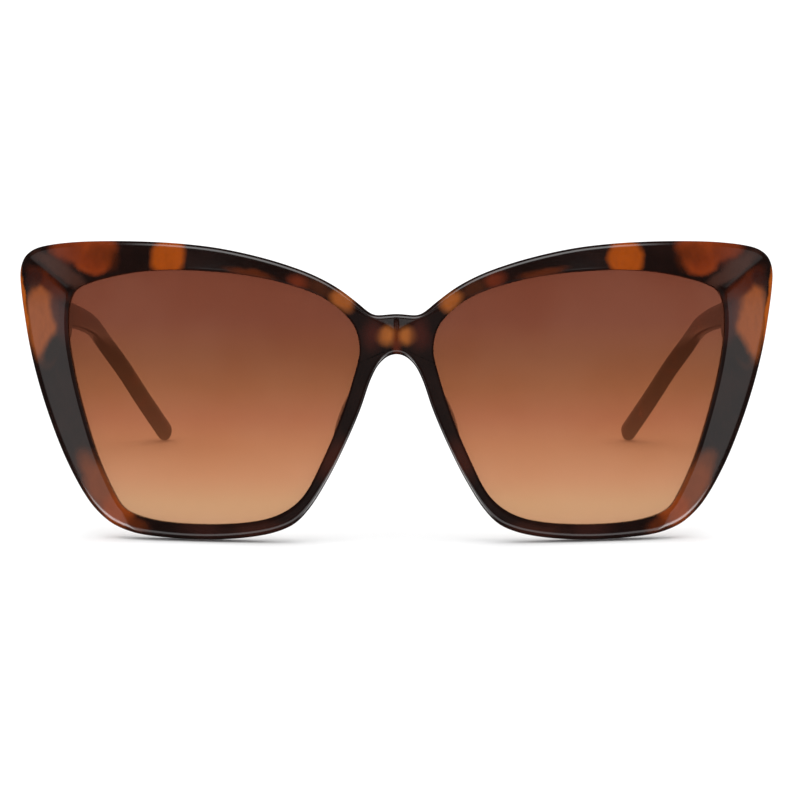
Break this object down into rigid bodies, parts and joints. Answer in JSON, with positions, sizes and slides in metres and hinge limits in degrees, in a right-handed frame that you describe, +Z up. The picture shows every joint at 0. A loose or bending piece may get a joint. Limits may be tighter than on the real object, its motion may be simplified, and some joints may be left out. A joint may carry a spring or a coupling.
{
  "type": "cat eye sunglasses",
  "caption": "Oversize cat eye sunglasses: tortoiseshell front with swept upper corners, brown gradient lenses, and temples that fold on barrel hinges.",
  "frame": {"origin": "on the surface the glasses stand on, under the centre of their bounding box, standing open on both lower rims and both temple tips", "axes": "+X towards the wearer's left (the right of someone facing the glasses), +Y back along the temples towards the wearer's ears, +Z up; left and right in all names are the wearer's"},
  "size_m": [0.1506, 0.1474, 0.0581],
  "materials": {
    "tortoise_plastic": "polished mottled tortoiseshell, near-black brown with soft amber patches",
    "tinted_lens": "smooth transparent lens, brown tint that fades towards the bottom",
    "hinge_metal": "satin nickel silver",
    "screw_steel": "fine turned steel",
    "core_wire": "drawn wire"
  },
  "bodies": {
    "front_frame": {"front": "tortoise_plastic", "left_lens": "tinted_lens", "right_lens": "tinted_lens", "left_nose_pad": "tortoise_plastic", "right_nose_pad": "tortoise_plastic", "left_front_hinge_leaf": "hinge_metal", "right_front_hinge_leaf": "hinge_metal", "left_hinge_screw": "screw_steel", "right_hinge_screw": "screw_steel", "left_front_leaf_screw_1": "screw_steel", "left_front_leaf_screw_2": "screw_steel", "right_front_leaf_screw_1": "screw_steel", "right_front_leaf_screw_2": "screw_steel"},
    "left_arm": {"left_temple": "tortoise_plastic", "left_temple_core": "core_wire", "left_temple_hinge_leaf": "hinge_metal", "left_temple_leaf_screw_1": "screw_steel", "left_temple_leaf_screw_2": "screw_steel"},
    "right_arm": {"right_temple": "tortoise_plastic", "right_temple_core": "core_wire", "right_temple_hinge_leaf": "hinge_metal", "right_temple_leaf_screw_1": "screw_steel", "right_temple_leaf_screw_2": "screw_steel"}
  },
  "joints": [
    {"name": "left_temple_hinge", "type": "hinge", "parent": "front_frame", "child": "left_arm", "pos_m": [0.067, -0.05106, 0.04326], "axis": [0, 0.1265, 0.992], "range_deg": [0, 86.5]},
    {"name": "right_temple_hinge", "type": "hinge", "parent": "front_frame", "child": "right_arm", "pos_m": [-0.067, -0.05106, 0.04326], "axis": [0, -0.1265, -0.992], "range_deg": [0, 81]}
  ]
}
